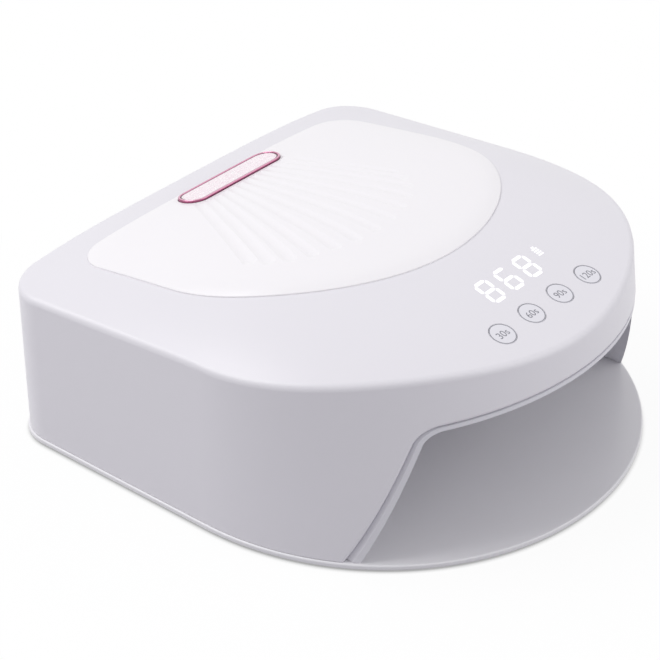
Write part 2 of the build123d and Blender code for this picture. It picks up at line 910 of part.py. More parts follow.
def guide_low():
    """Height of the light guides' lower ends, just below the shell's inside."""
    left, right, front, rear = display_sides()
    return crown_height(right, front, -shell_wall) - display_gap


def light_guides(faces):
    """Guides that fill the slots in the shell, flush with its top."""
    guides = []
    for face in faces:
        guides += (upright(face, guide_low(), sky) & crown()).solids()
    return Compound(guides)


def make_display():
    """Display block behind the light guides: a white frame over its LED chips."""
    return block(*display_sides(), key_board_z + board_thick, guide_low() - display_gap)


def make_top_board():
    """LED board over the chamber."""
    board = block(
        -top_board_half, top_board_half, top_board_front, top_board_rear,
        top_board_z, top_board_z + board_thick,
    )
    for x, y in top_board_screw_spots():
        board -= rod(x, y, 0, sky, board_screw_shank + fit_gap)
    return board


def make_top_beads():
    """LED beads that look down through the liner's top."""
    one = bead(top_bead_tip, top_board_z)
    return Compound([Pos(x, y, 0) * one for x, y in top_bead_spots()])


def make_sensors():
    """Hand sensor: an infrared lamp and its receiver behind two small holes."""
    low = chamber_top + sensor_depth
    columns = (-sensor_half_pitch, sensor_half_pitch)
    return Compound([rod(x, sensor_row, low, top_board_z, sensor_radius) for x in columns])


def make_side_board(side):
    """LED board on a leaning side wall, with the pads that hold it off the liner."""
    board = Pos(0, 0, board_offset + board_thick / 2) * Box(
        side_board_length, side_board_height, board_thick
    )
    for u in (-1, 1):
        for v in (-1, 1):
            x = u * (side_board_length / 2 - board_pad_inset)
            y = v * (side_board_height / 2 - board_pad_inset)
            board += rod(x, y, 0, board_offset, board_pad_radius)
    return side_plane(side) * board


def make_side_beads(side):
    """LED beads that look in through a side wall."""
    plane = side_plane(side)
    one = bead(-liner_wall - bead_stand, board_offset)
    return Compound([plane * Pos(u, v, 0) * one for u, v in side_bead_places()])


def make_rear_board():
    """LED board behind the chamber's back wall, with its pads."""
    face = chamber_back + liner_wall
    front = face + board_offset
    low = rear_board_z - rear_board_height / 2
    high = rear_board_z + rear_board_height / 2
    board = block(-rear_board_half, rear_board_half, front, front + board_thick, low, high)
    pad = Rot(90, 0, 0) * Cylinder(board_pad_radius, board_offset)
    for x in (-rear_board_half + board_pad_inset, rear_board_half - board_pad_inset):
        for z in (low + board_pad_inset, high - board_pad_inset):
            board += Pos(x, (face + front) / 2, z) * pad
    return board


def make_rear_beads():
    """LED beads that look forward through the back wall."""
    one = Rot(-90, 0, 0) * bead(-liner_wall - bead_stand, board_offset)
    y = chamber_back + liner_wall
    return Compound([Pos(x, y, rear_board_z) * one for x in rear_bead_columns()])


def make_cells(side):
    """Two lithium cells, one above the other."""
    cells = []
    middle = side * (cell_inner_end + cell_length / 2)
    for z in (cell_low, cell_high):
        can = Pos(middle, cell_y, z) * Rot(0, 90, 0) * Cylinder(cell_radius, cell_length)
        cells.append(fillet(can.edges(), cell_edge_round))
    return Compound(cells)


def make_cradle(side):
    """Battery cradle: a floor, two end walls with saddles, and a post under the main board."""
    inner = cell_inner_end - fit_gap
    outer = cell_inner_end + cell_length + fit_gap
    front = cell_y - cell_radius - cradle_front_room
    rear = cell_y + cell_radius - cradle_rear_cut
    floor_top = frame_top + cradle_floor
    saddle_top = floor_top + cell_lift + saddle_height
    bars = [
        (inner - cradle_wall, outer + cradle_wall, floor_top),
        (inner - cradle_wall, inner, cell_high),
        (outer, outer + cradle_wall, cell_high),
        (inner, inner + saddle_width, saddle_top),
        (outer - saddle_width, outer, saddle_top),
    ]
    body = block(*bars[0][:2], front, rear, frame_top, bars[0][2])
    for left, right, top in bars[1:]:
        body += block(left, right, front, rear, frame_top, top)
    middle = cell_inner_end + cell_length / 2
    body -= Pos(middle, cell_y, cell_low) * Rot(0, 90, 0) * Cylinder(
        cell_radius + fit_gap / 2, cell_length + 2 * fit_gap
    )
    left, right = middle - main_post / 2, middle + main_post / 2
    body += block(left, right, front - main_post, front, frame_top, main_board_z)
    body += block(left, right, front - main_post, rear, frame_top, floor_top)
    return body if side > 0 else mirror(body, Plane.YZ)


def make_main_board():
    """Main circuit board over the battery."""
    return block(
        -main_board_half, main_board_half, main_board_front, main_board_rear,
        main_board_z, main_board_z + board_thick,
    )


def make_main_parts():
    """Larger components on the main board: coil, controller and plug sockets."""
    low = main_board_z + board_thick
    y = main_board_middle
    return Compound([
        block(x - width / 2, x + width / 2, y - depth / 2, y + depth / 2, low, low + height)
        for x, width, depth, height in main_parts
    ])


def make_socket():
    """Barrel socket for the charger, held in the back wall."""
    back_inside = half_depth - shell_wall
    half = socket_width / 2
    body = block(
        -half, half, back_inside - socket_length, back_inside,
        socket_board_top, socket_z + half,
    )
    nose = Rot(90, 0, 0) * Cylinder(socket_nose, shell_wall)
    nose = Pos(0, back_inside + shell_wall / 2, socket_z) * nose
    bore = Pos(0, half_depth - socket_bore_depth / 2, socket_z) * Rot(90, 0, 0) * Cylinder(
        socket_bore, socket_bore_depth
    )
    return body + nose - bore


def make_socket_pin():
    """Centre contact of the charger socket."""
    y = half_depth - socket_bore_depth + socket_pin_length / 2
    return Pos(0, y, socket_z) * Rot(90, 0, 0) * Cylinder(socket_pin_radius, socket_pin_length)


def make_socket_board():
    """Small board under the charger socket, on its stand."""
    back = half_depth - shell_wall - fit_gap
    half = socket_plate / 2
    return block(-half, half, back - socket_plate, back, socket_board_top - board_thick, socket_board_top)


def make_socket_stand():
    """Two-legged stand that holds the socket board above the frame."""
    back = half_depth - shell_wall - fit_gap
    front = back - socket_plate
    rear = back - stand_rear_room
    high = socket_board_top - board_thick
    half = socket_plate / 2
    stand = block(-half, half, front, rear, frame_top, frame_top + stand_base)
    stand += block(-half, -half + stand_leg, front, rear, frame_top, high)
    stand += block(half - stand_leg, half, front, rear, frame_top, high)
    return stand


def make_shell_screws():
    """Six long screws from below, through the frame and ears into the shell's posts."""
    screws = []
    for x, y in screw_spots():
        low = body_low + shell_screw_sink
        head = rod(x, y, low - shell_screw_head_thick, low, shell_screw_head)
        shank = rod(x, y, low, post_foot(x) + shell_screw_grip - screw_end_gap, shell_screw_shank)
        screws.append(head + shank)
    return Compound(screws)


def make_board_screws():
    """Small screws that hold the LED board on the liner and the key board under the shell."""
    screws = []
    depth = board_screw_grip - screw_end_gap
    top = top_board_z + board_thick
    for x, y in top_board_screw_spots():
        head = rod(x, y, top, top + board_screw_head_thick, board_screw_head)
        screws.append(head + rod(x, y, top_board_z - depth, top, board_screw_shank))
    for x, y in key_board_posts:
        head = rod(x, y, key_board_z - board_screw_head_thick, key_board_z, board_screw_head)
        screws.append(head + rod(x, y, key_board_z, key_board_z + board_thick + depth, board_screw_shank))
    return Compound(screws)


def lead(points, radius):
    """Round lead along straight runs joined by tangent arcs."""
    runs = [(Vector(*b) - Vector(*a)).length for a, b in zip(points, points[1:])]
    bends = []
    for i in range(1, len(points) - 1):
        a = Vector(*points[i]) - Vector(*points[i - 1])
        b = Vector(*points[i + 1]) - Vector(*points[i])
        turn = radians(a.get_angle(b))
        bends.append(lead_bend_share * min(runs[i - 1], runs[i]) / tan(turn / 2))
    path = FilletPolyline(*points, radius=bends)
    start = Plane(origin=path @ 0, z_dir=path % 0)
    return sweep(start * Circle(radius), path=path)


def make_panel_lead():
    """Ribbon lead from the key board back to the main board, over the LED board."""
    z = top_board_z + board_thick + lead_rise
    start_y = key_board_rear - lead_board_inset
    return lead([
        (-lead_column, start_y, key_board_z + board_thick), (-lead_column, start_y, z),
        (-lead_column, main_board_middle, z), (-lead_column, main_board_middle, main_board_z + board_thick),
    ], ribbon_radius)


def make_top_lead():
    """Lead from the main board up to the LED board over the chamber."""
    top = top_board_z + board_thick
    end_y = top_board_rear - lead_board_inset
    return lead([
        (lead_column, main_board_middle, main_board_z + board_thick),
        (lead_column, main_board_middle, top + lead_rise),
        (lead_column, end_y, top + lead_rise), (lead_column, end_y, top),
    ], lead_radius)


def make_side_lead(side):
    """Lead from a side LED board, round the back of the liner, to the main board."""
    plane = side_plane(side)
    along = side_board_length / 2 - lead_board_inset
    face = board_offset + board_thick
    start = plane.from_local_coords((along, 0, face))
    off = plane.from_local_coords((along, 0, face + lead_stub))
    x = side * (main_board_half - lead_board_inset)
    top = main_board_z + board_thick
    turns = [(side * (half_width - room), chamber_back + y, z) for room, y, z in side_lead_turns]
    return lead([
        tuple(start), tuple(off), *turns,
        (x, main_board_middle, top + side_lead_drop), (x, main_board_middle, top),
    ], lead_radius)


def make_socket_lead():
    """Lead from the socket board up to the main board."""
    x = -socket_width / 2 - lead_radius - socket_lead_gap
    y = half_depth - shell_wall - socket_length
    end_y = half_depth - socket_lead_room
    return lead([
        (x, y, socket_board_top), (x, y, socket_board_top + socket_lead_stub),
        (socket_lead_x, end_y, main_board_z - socket_lead_stub),
        (socket_lead_x, end_y, main_board_z),
    ], lead_radius)


def make_battery_lead(side):
    """Lead from the lower cell's inner end up to the main board."""
    x = cell_inner_end - fit_gap - cradle_wall
    y = cell_y - battery_lead_y
    rise_x = side * (x - battery_lead_x)
    return lead([
        (side * x, y, cell_low), (side * (x - battery_lead_stub), y, cell_low),
        (rise_x, y - lead_radius, main_board_z - battery_lead_drop),
        (rise_x, y - lead_radius, main_board_z),
    ], lead_radius)


def save(name, shape):
    """Write one piece, under its plain name."""
    shape.label = name
    export_step(shape, f"parts/{name}.step")


os.makedirs("parts", exist_ok=True)
save("base_tray", make_tray())
save("base_feet", make_feet())
save("keeper_discs", make_keepers())
save("outer_shell", make_shell())
save("bottom_frame", make_frame())
save("latch_magnets", make_magnets())
save("chamber_liner", make_liner())
save("fan_panel", make_panel())
save("badge_rim", make_badge_rim())
save("badge_inlay", make_inlay())
for number, (spot_x, _) in zip((30, 60, 90, 120), key_spots()):
    save(f"key_cap_{number}", make_key(spot_x))
    save(f"switch_plunger_{number}", make_plunger(spot_x))
save("tact_switches", make_switches())
save("key_board", make_key_board())
save("figure_light_guides", light_guides(figure_faces()))
save("battery_sign_guides", light_guides(icon_faces()))
save("display_block", make_display())
save("led_board_top", make_top_board())
save("led_beads_top", make_top_beads())
save("hand_sensors", make_sensors())
for hand, side_sign in (("left", -1), ("right", 1)):
    save(f"led_board_{hand}", make_side_board(side_sign))
    save(f"led_beads_{hand}", make_side_beads(side_sign))
    save(f"battery_cells_{hand}", make_cells(side_sign))
    save(f"battery_cradle_{hand}", make_cradle(side_sign))
    save(f"battery_lead_{hand}", make_battery_lead(side_sign))
    save(f"led_lead_{hand}", make_side_lead(side_sign))
save("led_board_rear", make_rear_board())
save("led_beads_rear", make_rear_beads())
save("main_board", make_main_board())
save("main_board_parts", make_main_parts())
save("charge_socket", make_socket())
save("charge_socket_pin", make_socket_pin())
save("socket_board", make_socket_board())
save("socket_stand", make_socket_stand())
save("shell_screws", make_shell_screws())
save("board_screws", make_board_screws())
save("panel_lead", make_panel_lead())
save("led_lead_top", make_top_lead())
save("socket_lead", make_socket_lead())
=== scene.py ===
import math

import bmesh
import bpy
from mathutils import Matrix, Vector
from mathutils.bvhtree import BVHTree


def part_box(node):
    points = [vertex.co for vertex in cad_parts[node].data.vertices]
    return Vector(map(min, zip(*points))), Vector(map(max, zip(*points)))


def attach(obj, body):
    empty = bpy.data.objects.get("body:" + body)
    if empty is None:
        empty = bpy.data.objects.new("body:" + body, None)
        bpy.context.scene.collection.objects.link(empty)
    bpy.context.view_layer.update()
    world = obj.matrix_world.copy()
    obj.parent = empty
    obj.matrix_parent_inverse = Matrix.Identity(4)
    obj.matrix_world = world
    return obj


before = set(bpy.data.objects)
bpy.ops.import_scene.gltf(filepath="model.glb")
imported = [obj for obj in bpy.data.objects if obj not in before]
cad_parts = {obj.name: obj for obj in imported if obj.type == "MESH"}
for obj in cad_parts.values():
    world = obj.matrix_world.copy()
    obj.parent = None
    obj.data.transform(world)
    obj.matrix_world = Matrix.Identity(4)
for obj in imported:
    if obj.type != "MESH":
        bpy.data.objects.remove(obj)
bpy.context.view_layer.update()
mm = 0.001

# The part of its scale that a noise texture really fills
noise_low = 0.3
noise_high = 0.7
rubs_per_drift = 3

# Plated metal: how far its lines are drawn out along X, how much its gloss varies,
# and how far up a face its flanks stay in full painted shade, and where its top face starts
line_stretch = (0.08, 1.0, 1.0)
plating_spread = 0.08
flank_upturn = 0.45
top_upturn = 0.93

# Circuit boards: glass weave, its relief as a share of the tracks' own, where a cell turns into
# track, and the solder mask's IOR
board_weave_mm = 1.6
board_weave_share = 0.15
board_track_mm = 0.04
track_edge_low = 0.42
track_edge_high = 0.48
board_ior = 1.52

# Badge: how far a flake tilts, its resin, and the share of the painted shade line along the resin's edge
# that is dark in full
flake_tilt_mm = 0.10
resin_ior = 1.5
edge_full_share = 0.6

# Lit polycarbonate
dimmest_share = 0.92
diffuser_relief_mm = 0.01
polycarbonate_ior = 1.58

# Camera, fitted to the photograph's 660 pixel frame
frame_pixels = 660
camera_azimuth = math.radians(-50.20)
camera_elevation = math.radians(32.41)
camera_focal_pixels = 2081.7
camera_sensor = 36.0
camera_right_shift = -22.02 * mm
camera_up_shift = 34.37 * mm
camera_distance = 925.65 * mm

# Light, set so that a colour on a level face renders about as it is written
sky_strength = 0.56
sky_hex = "#F6F5F9"
key_light = {"side": 1.1, "power": 15.0, "place": (-0.72, 0.86, 1.40)}
fill_light = {"side": 1.4, "power": 7.8, "place": (0.70, -1.35, 0.75)}
floor_radius = 4.0
floor_steps = 96
floor_whiteness = 0.92
floor_fade_start = 0.11
floor_fade_end = 0.24
floor_hex = "#FCFCFD"
bounce_hex = "#B4B3B8"

# Painted contact shadow: a thin dark line on the floor where the tray meets it
contact_reach = 5 * mm
contact_shade = 0.42
contact_covered = 0.25
contact_open = 0.75
contact_samples = 16


def linear(hex_colour):
    """An sRGB hex value as a linear colour with an alpha of one."""
    channels = [int(hex_colour[i:i + 2], 16) / 255 for i in (1, 3, 5)]
    return [c / 12.92 if c <= 0.04045 else ((c + 0.055) / 1.055) ** 2.4 for c in channels] + [1.0]


def per(size_mm):
    """How many pattern features of this size fit in a metre."""
    return 1.0 / (size_mm * mm)


def node(tree, kind, inputs=None, **settings):
    """Adds one shader node. An input is a value or the socket that feeds it."""
    made = tree.nodes.new("ShaderNode" + kind)
    for name, value in settings.items():
        setattr(made, name, value)
    for name, value in (inputs or {}).items():
        if isinstance(value, bpy.types.NodeSocket):
            tree.links.new(value, made.inputs[name])
        else:
            made.inputs[name].default_value = value
    return made


def new_material(name):
    """An empty node material with its output, and the object coordinates that its patterns use."""
    made = bpy.data.materials.new(name)
    made.use_nodes = True
    tree = made.node_tree
    tree.nodes.clear()
    output = node(tree, "OutputMaterial")
    place = node(tree, "TexCoord").outputs["Object"]
    return made, tree, output, place


def moulded(name, hex_colour, shade_hex, roughness, ior, tint_mm, grain_mm, relief_mm, wear=0.05, **extra):
    """A moulded plastic: slow tint drift, its mould's grain as relief, gloss that varies with handling."""
    made, tree, output, place = new_material(name)
    drift = node(tree, "TexNoise", {"Vector": place, "Scale": per(tint_mm), "Detail": 3.0})
    tint = node(tree, "Mix", {
        "Factor": drift.outputs["Fac"], "A": linear(hex_colour), "B": linear(shade_hex),
    }, data_type="RGBA")
    grain = node(tree, "TexNoise", {
        "Vector": place, "Scale": per(grain_mm), "Detail": 4.0, "Roughness": 0.55,
    })
    relief = node(tree, "Bump", {
        "Height": grain.outputs["Fac"], "Strength": 0.6, "Distance": relief_mm * mm,
    })
    rub = node(tree, "TexNoise", {
        "Vector": place, "Scale": per(tint_mm / rubs_per_drift), "Detail": 5.0, "Roughness": 0.65,
    })
    gloss = node(tree, "MapRange", {
        "Value": rub.outputs["Fac"], "From Min": noise_low, "From Max": noise_high,
        "To Min": roughness - wear, "To Max": roughness + wear,
    })
    shader = node(tree, "BsdfPrincipled", {
        "Base Color": tint.outputs["Result"], "Roughness": gloss.outputs["Result"],
        "Normal": relief.outputs["Normal"], "IOR": ior, **extra,
    })
    tree.links.new(shader.outputs["BSDF"], output.inputs["Surface"])
    return made


def plated(name, hex_colour, roughness, streak_mm, relief_mm, shaded_flank_hex=None):
    """A plated or anodised metal: fine drawn lines in its gloss and relief, and painted shade darkening its
    steep flanks.
    """
    made, tree, output, place = new_material(name)
    along = node(tree, "Mapping", {"Vector": place, "Scale": line_stretch})
    lines = node(tree, "TexNoise", {
        "Vector": along.outputs["Vector"], "Scale": per(streak_mm), "Detail": 6.0,
    })
    gloss = node(tree, "MapRange", {
        "Value": lines.outputs["Fac"], "From Min": noise_low, "From Max": noise_high,
        "To Min": roughness, "To Max": roughness + plating_spread,
    })
    relief = node(tree, "Bump", {
        "Height": lines.outputs["Fac"], "Strength": 0.4, "Distance": relief_mm * mm,
    })
    # Painted shade: the steeper a face, the more it takes the darker flank colour, as if turned from the
    # light
    facing = node(tree, "SeparateXYZ", {"Vector": node(tree, "NewGeometry").outputs["Normal"]})
    level = node(tree, "MapRange", {
        "Value": facing.outputs["Z"], "From Min": flank_upturn, "From Max": top_upturn,
    })
    tint = node(tree, "Mix", {
        "Factor": level.outputs["Result"], "A": linear(shaded_flank_hex or hex_colour), "B": linear(hex_colour),
    }, data_type="RGBA")
    shader = node(tree, "BsdfPrincipled", {
        "Base Color": tint.outputs["Result"], "Metallic": 1.0, "Roughness": gloss.outputs["Result"],
        "Normal": relief.outputs["Normal"],
    })
    tree.links.new(shader.outputs["BSDF"], output.inputs["Surface"])
    return made


def circuit_board(name, mask_hex, track_hex, track_mm, roughness):
    """Glass-epoxy board under solder mask: copper tracks show as paler lines, a little proud."""
    made, tree, output, place = new_material(name)
    cells = node(tree, "TexVoronoi", {
        "Vector": place, "Scale": per(track_mm), "Randomness": 0.7,
    }, distance="MANHATTAN", feature="F1")
    tracks = node(tree, "MapRange", {
        "Value": cells.outputs["Distance"], "From Min": track_edge_low, "From Max": track_edge_high,
    })
    tint = node(tree, "Mix", {
        "Factor": tracks.outputs["Result"], "A": linear(mask_hex), "B": linear(track_hex),
    }, data_type="RGBA")
    weave = node(tree, "TexWave", {
        "Vector": place, "Scale": per(board_weave_mm), "Distortion": 1.5, "Detail": 2.0,
    })
    height = node(tree, "Math", {
        0: weave.outputs["Fac"], 1: board_weave_share, 2: tracks.outputs["Result"],
    }, operation="MULTIPLY_ADD")
    relief = node(tree, "Bump", {
        "Height": height.outputs["Value"], "Strength": 0.5, "Distance": board_track_mm * mm,
    })
    shader = node(tree, "BsdfPrincipled", {
        "Base Color": tint.outputs["Result"], "Roughness": roughness,
        "Normal": relief.outputs["Normal"], "IOR": board_ior,
    })
    tree.links.new(shader.outputs["BSDF"], output.inputs["Surface"])
    return made


def edge_share(tree, place, low, high, width_mm):
    """One along the edge of a pill-shaped face between two corners, fading to none over a width."""
    half_width = (high.y - low.y) / 2
    straight = (high.x - low.x) / 2 - half_width
    spot = node(tree, "SeparateXYZ", {"Vector": place})
    along = node(tree, "Math", {0: spot.outputs["X"]}, operation="ABSOLUTE")
    past = node(tree, "Math", {0: along.outputs["Value"], 1: straight}, operation="SUBTRACT")
    past = node(tree, "Math", {0: past.outputs["Value"], 1: 0.0}, operation="MAXIMUM")
    across = node(tree, "Math", {0: spot.outputs["Y"], 1: (low.y + high.y) / 2}, operation="SUBTRACT")
    away = node(tree, "CombineXYZ", {"X": past.outputs["Value"], "Y": across.outputs["Value"]})
    reach = node(tree, "VectorMath", {0: away.outputs["Vector"]}, operation="LENGTH")
    return node(tree, "MapRange", {
        "Value": reach.outputs["Value"], "From Min": half_width - width_mm * mm,
        "From Max": half_width - width_mm * mm * edge_full_share,
    }).outputs["Result"]


def glitter_resin(name, ground_hex, flake_hex, edge_shade_hex, flake_mm, edge_mm):
    """Clear resin over glitter foil: small flakes, each tilted its own way, that flash one by one.

    The resin's edge carries a thin dark line of painted shade, for the rim's shaded wall mirrored in it.
    """
    made, tree, output, place = new_material(name)
    flakes = node(tree, "TexVoronoi", {"Vector": place, "Scale": per(flake_mm)}, feature="F1")
    tone = node(tree, "SeparateColor", {"Color": flakes.outputs["Color"]})
    foil = node(tree, "Mix", {
        "Factor": tone.outputs["Red"], "A": linear(ground_hex), "B": linear(flake_hex),
    }, data_type="RGBA")
    # Painted shade: a thin dark line along the inlay's edge, where it meets the rim
    edge = edge_share(tree, place, *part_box("badge_inlay"), edge_mm)
    tint = node(tree, "Mix", {
        "Factor": edge, "A": foil.outputs["Result"], "B": linear(edge_shade_hex),
    }, data_type="RGBA")
    shine = node(tree, "MapRange", {
        "Value": tone.outputs["Green"], "From Min": 0.55, "From Max": 0.95, "To Min": 0.0, "To Max": 0.85,
    })
    tilt = node(tree, "Bump", {
        "Height": tone.outputs["Blue"], "Strength": 0.55, "Distance": flake_tilt_mm * mm,
    })
    shader = node(tree, "BsdfPrincipled", {
        "Base Color": tint.outputs["Result"], "Metallic": shine.outputs["Result"], "Roughness": 0.24,
        "Normal": tilt.outputs["Normal"], "Coat Weight": 0.8, "Coat Roughness": 0.04, "Coat IOR": resin_ior,
    })
    tree.links.new(shader.outputs["BSDF"], output.inputs["Surface"])
    return made


def lit_diffuser(name, hex_colour, strength, grain_mm):
    """Milky polycarbonate lit from behind: brightest where the grain is thin."""
    made, tree, output, place = new_material(name)
    grain = node(tree, "TexNoise", {"Vector": place, "Scale": per(grain_mm), "Detail": 3.0})
    level = node(tree, "MapRange", {
        "Value": grain.outputs["Fac"], "From Min": 0.2, "From Max": 0.8,
        "To Min": strength * dimmest_share, "To Max": strength,
    })
    relief = node(tree, "Bump", {
        "Height": grain.outputs["Fac"], "Strength": 0.3, "Distance": diffuser_relief_mm * mm,
    })
    shader = node(tree, "BsdfPrincipled", {
        "Base Color": linear(hex_colour), "Roughness": 0.35, "IOR": polycarbonate_ior,
        "Normal": relief.outputs["Normal"], "Emission Color": linear(hex_colour),
        "Emission Strength": level.outputs["Result"],
    })
    tree.links.new(shader.outputs["BSDF"], output.inputs["Surface"])
    return made


# What each finish really is, and what that gives the eye; some colours also carry painted light or shade,
# noted where they stand
gloss_abs = moulded("satin_gloss_white_abs", "#ECEAEF", "#EAE8ED", 0.36, 1.53, 90, 5.0, 0.003, wear=0.02)
# Painted light: the panel is the shell's white ABS, and its paler colour stands in for the light its crown
# catches from the rear left
panel_abs = moulded("white_abs_panel_painted_lighter", "#FAF8FA", "#F8F6F8", 0.30, 1.53, 90, 5.0, 0.003, wear=0.015)
liner_abs = moulded("satin_white_abs_liner", "#E6E5EA", "#E1E0E6", 0.42, 1.53, 40, 0.9, 0.012)
tray_abs = moulded("gloss_white_abs_tray", "#F1F0F3", "#EEEDF0", 0.30, 1.53, 80, 4.0, 0.003, wear=0.02)
frame_abs = moulded("textured_white_abs_frame", "#E3E2E7", "#DCDBE1", 0.52, 1.53, 30, 0.7, 0.03)
key_abs = moulded("gloss_white_abs_keys", "#ECEBF1", "#E8E7ED", 0.24, 1.53, 20, 2.0, 0.003, wear=0.03)
cradle_abs = moulded("natural_abs_cradle", "#D9D6CC", "#CFCBC0", 0.55, 1.53, 18, 0.6, 0.03)
socket_nylon = moulded("black_nylon_socket", "#1B1B1D", "#242427", 0.45, 1.53, 8, 0.35, 0.02)
epoxy_black = moulded("black_epoxy_packages", "#1F2022", "#2A2B2D", 0.50, 1.55, 5, 0.25, 0.02)
sensor_epoxy = moulded("dark_infrared_epoxy", "#1A0F16", "#23141D", 0.12, 1.55, 4, 1.0, 0.002)
plunger_pom = moulded("red_acetal_plungers", "#B2282B", "#9E2226", 0.38, 1.48, 6, 0.5, 0.01)
foot_rubber = moulded("grey_silicone_rubber_feet", "#8C8C92", "#7D7D84", 0.72, 1.41, 7, 0.3, 0.03,
                      **{"Sheen Weight": 0.15})
cell_sleeve = moulded("shrunk_pvc_cell_sleeve", "#3F6FB5", "#3A67A9", 0.30, 1.54, 15, 3.0, 0.03)
lead_pvc = moulded("soft_pvc_lead_sleeve", "#2B2B2E", "#353538", 0.48, 1.54, 10, 0.5, 0.01)
reflector_white = moulded("white_polycarbonate_reflector", "#F4F4F6", "#ECECEF", 0.36, 1.58, 10, 0.5, 0.008)
bead_silicone = moulded("violet_tinted_lens_silicone", "#DCD6F0", "#CFC6EC", 0.10, 1.41, 3, 1.2, 0.002,
                        **{"Transmission Weight": 0.35})
print_grey = moulded("pad_printed_grey_ink", "#84848C", "#8C8C94", 0.55, 1.5, 2.0, 0.15, 0.006)
# The flank colour #A05C7A is painted shade on the rim's steep sides
pink_anodised = plated("rose_anodised_aluminium", "#E0A9C0", 0.16, 0.6, 0.004, shaded_flank_hex="#A05C7A")
zinc_steel = plated("zinc_plated_steel", "#C9CBCE", 0.24, 0.5, 0.01)
nickel = plated("bright_nickel_plate", "#D6D2CB", 0.12, 0.8, 0.004)
brass = plated("turned_brass_pin", "#D2A95A", 0.20, 0.25, 0.008)
board_white = circuit_board("white_masked_led_board", "#ECECEA", "#F6F6F4", 5.0, 0.40)
board_green = circuit_board("green_masked_control_board", "#1E6A3C", "#2C8650", 3.2, 0.36)
# 5A2038 is painted shade along the resin's edge
glitter = glitter_resin("pink_glitter_under_resin", "#F9E0EB", "#FFFCFD", "#5A2038", 0.5, 0.65)
lit_white = lit_diffuser("lit_milky_polycarbonate", "#FFFFFF", 0.3, 0.8)

finishes = [
    (gloss_abs, "outer_shell"),
    (panel_abs, "fan_panel"),
    (liner_abs, "chamber_liner"),
    (tray_abs, "base_tray"),
    (frame_abs, "bottom_frame"),
    (key_abs, "key_cap_30", "key_cap_60", "key_cap_90", "key_cap_120"),
    (cradle_abs, "battery_cradle_left", "battery_cradle_right", "socket_stand"),
    (socket_nylon, "charge_socket"),
    (epoxy_black, "tact_switches", "main_board_parts"),
    (sensor_epoxy, "hand_sensors"),
    (plunger_pom, "switch_plunger_30", "switch_plunger_60", "switch_plunger_90", "switch_plunger_120"),
    (foot_rubber, "base_feet"),
    (cell_sleeve, "battery_cells_left", "battery_cells_right"),
    (lead_pvc, "battery_lead_left", "battery_lead_right", "led_lead_left", "led_lead_right", "panel_lead",
     "led_lead_top", "socket_lead"),
    (reflector_white, "display_block"),
    (bead_silicone, "led_beads_top", "led_beads_left", "led_beads_right", "led_beads_rear"),
    (pink_anodised, "badge_rim"),
    (zinc_steel, "keeper_discs", "shell_screws", "board_screws"),
    (nickel, "latch_magnets"),
    (brass, "charge_socket_pin"),
    (board_white, "led_board_top", "led_board_left", "led_board_right", "led_board_rear"),
    (board_green, "key_board", "main_board", "socket_board"),
    (glitter, "badge_inlay"),
    (lit_white, "figure_light_guides", "battery_sign_guides"),
]
for finish, *names in finishes:
    for name in names:
        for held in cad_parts[name].material_slots:
            held.material = finish


# Print on the keys: a thin ring and the seconds it stands for
ring_radius = 5.5 * mm
ring_width = 0.34 * mm
ring_steps = 96
ink_height = 0.02 * mm
label_size = 4.7 * mm
label_drop = 0.35
label_steps = 6
drop_height = 200 * mm


def surface_finder(name):
    """What finds the height of a CAD node's top face over a point."""
    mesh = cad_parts[name].data
    corners = [v.co for v in mesh.vertices]
    return BVHTree.FromPolygons(corners, [p.vertices[:] for p in mesh.polygons])


def lay_on(mesh, finder):
    """Drops a flat mesh, drawn with its underside at zero, onto the surface below it."""
    for v in mesh.vertices:
        hit = finder.ray_cast(Vector((v.co.x, v.co.y, drop_height)), Vector((0, 0, -1)))[0]
        v.co.z += hit.z


def new_piece(name, mesh, body, finish):
    """Puts a mesh in the scene as a piece that rides on a body."""
    piece = bpy.data.objects.new(name, mesh)
    bpy.context.scene.collection.objects.link(piece)
    mesh.materials.clear()
    mesh.materials.append(finish)
    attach(piece, body)
    return piece


def ring_mesh(name, centre):
    """A flat printed ring, with a thickness of ink."""
    form = bmesh.new()
    rows = []
    for i in range(ring_steps):
        turn = 2 * math.pi * i / ring_steps
        corners = []
        for radius, z in ((ring_radius, 0), (ring_radius, ink_height),
                          (ring_radius - ring_width, ink_height), (ring_radius - ring_width, 0)):
            x = centre.x + radius * math.cos(turn)
            y = centre.y + radius * math.sin(turn)
            corners.append(form.verts.new((x, y, z)))
        rows.append(corners)
    for i in range(ring_steps):
        here, there = rows[i], rows[(i + 1) % ring_steps]
        for k in range(4):
            form.faces.new((here[k], there[k], there[(k + 1) % 4], here[(k + 1) % 4]))
    bmesh.ops.recalc_face_normals(form, faces=form.faces)
    mesh = bpy.data.meshes.new(name)
    form.to_mesh(mesh)
    form.free()
    return mesh


def label_mesh(name, words, centre):
    """Printed figures as a thin mesh, middled on a point."""
    curve = bpy.data.curves.new(name, "FONT")
    curve.body = words
    curve.size = label_size
    curve.align_x = "CENTER"
    curve.extrude = ink_height / 2
    curve.resolution_u = label_steps
    drawn = bpy.data.objects.new(name, curve)
    bpy.context.scene.collection.objects.link(drawn)
    bpy.context.view_layer.update()
    mesh = bpy.data.meshes.new_from_object(drawn.evaluated_get(bpy.context.evaluated_depsgraph_get()))
    bpy.data.objects.remove(drawn)
    middle = (centre.x, centre.y - label_drop * label_size, ink_height / 2)
    mesh.transform(Matrix.Translation(middle))
    return mesh


for seconds in (30, 60, 90, 120):
    cap = f"key_cap_{seconds}"
    low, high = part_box(cap)
    finder = surface_finder(cap)
    for kind, mesh in (("ring", ring_mesh(f"key_ring_{seconds}", (low + high) / 2)),
                       ("label", label_mesh(f"key_label_{seconds}", f"{seconds}s", (low + high) / 2))):
        lay_on(mesh, finder)
        new_piece(f"key_{kind}_{seconds}", mesh, f"key_{seconds}", print_grey)


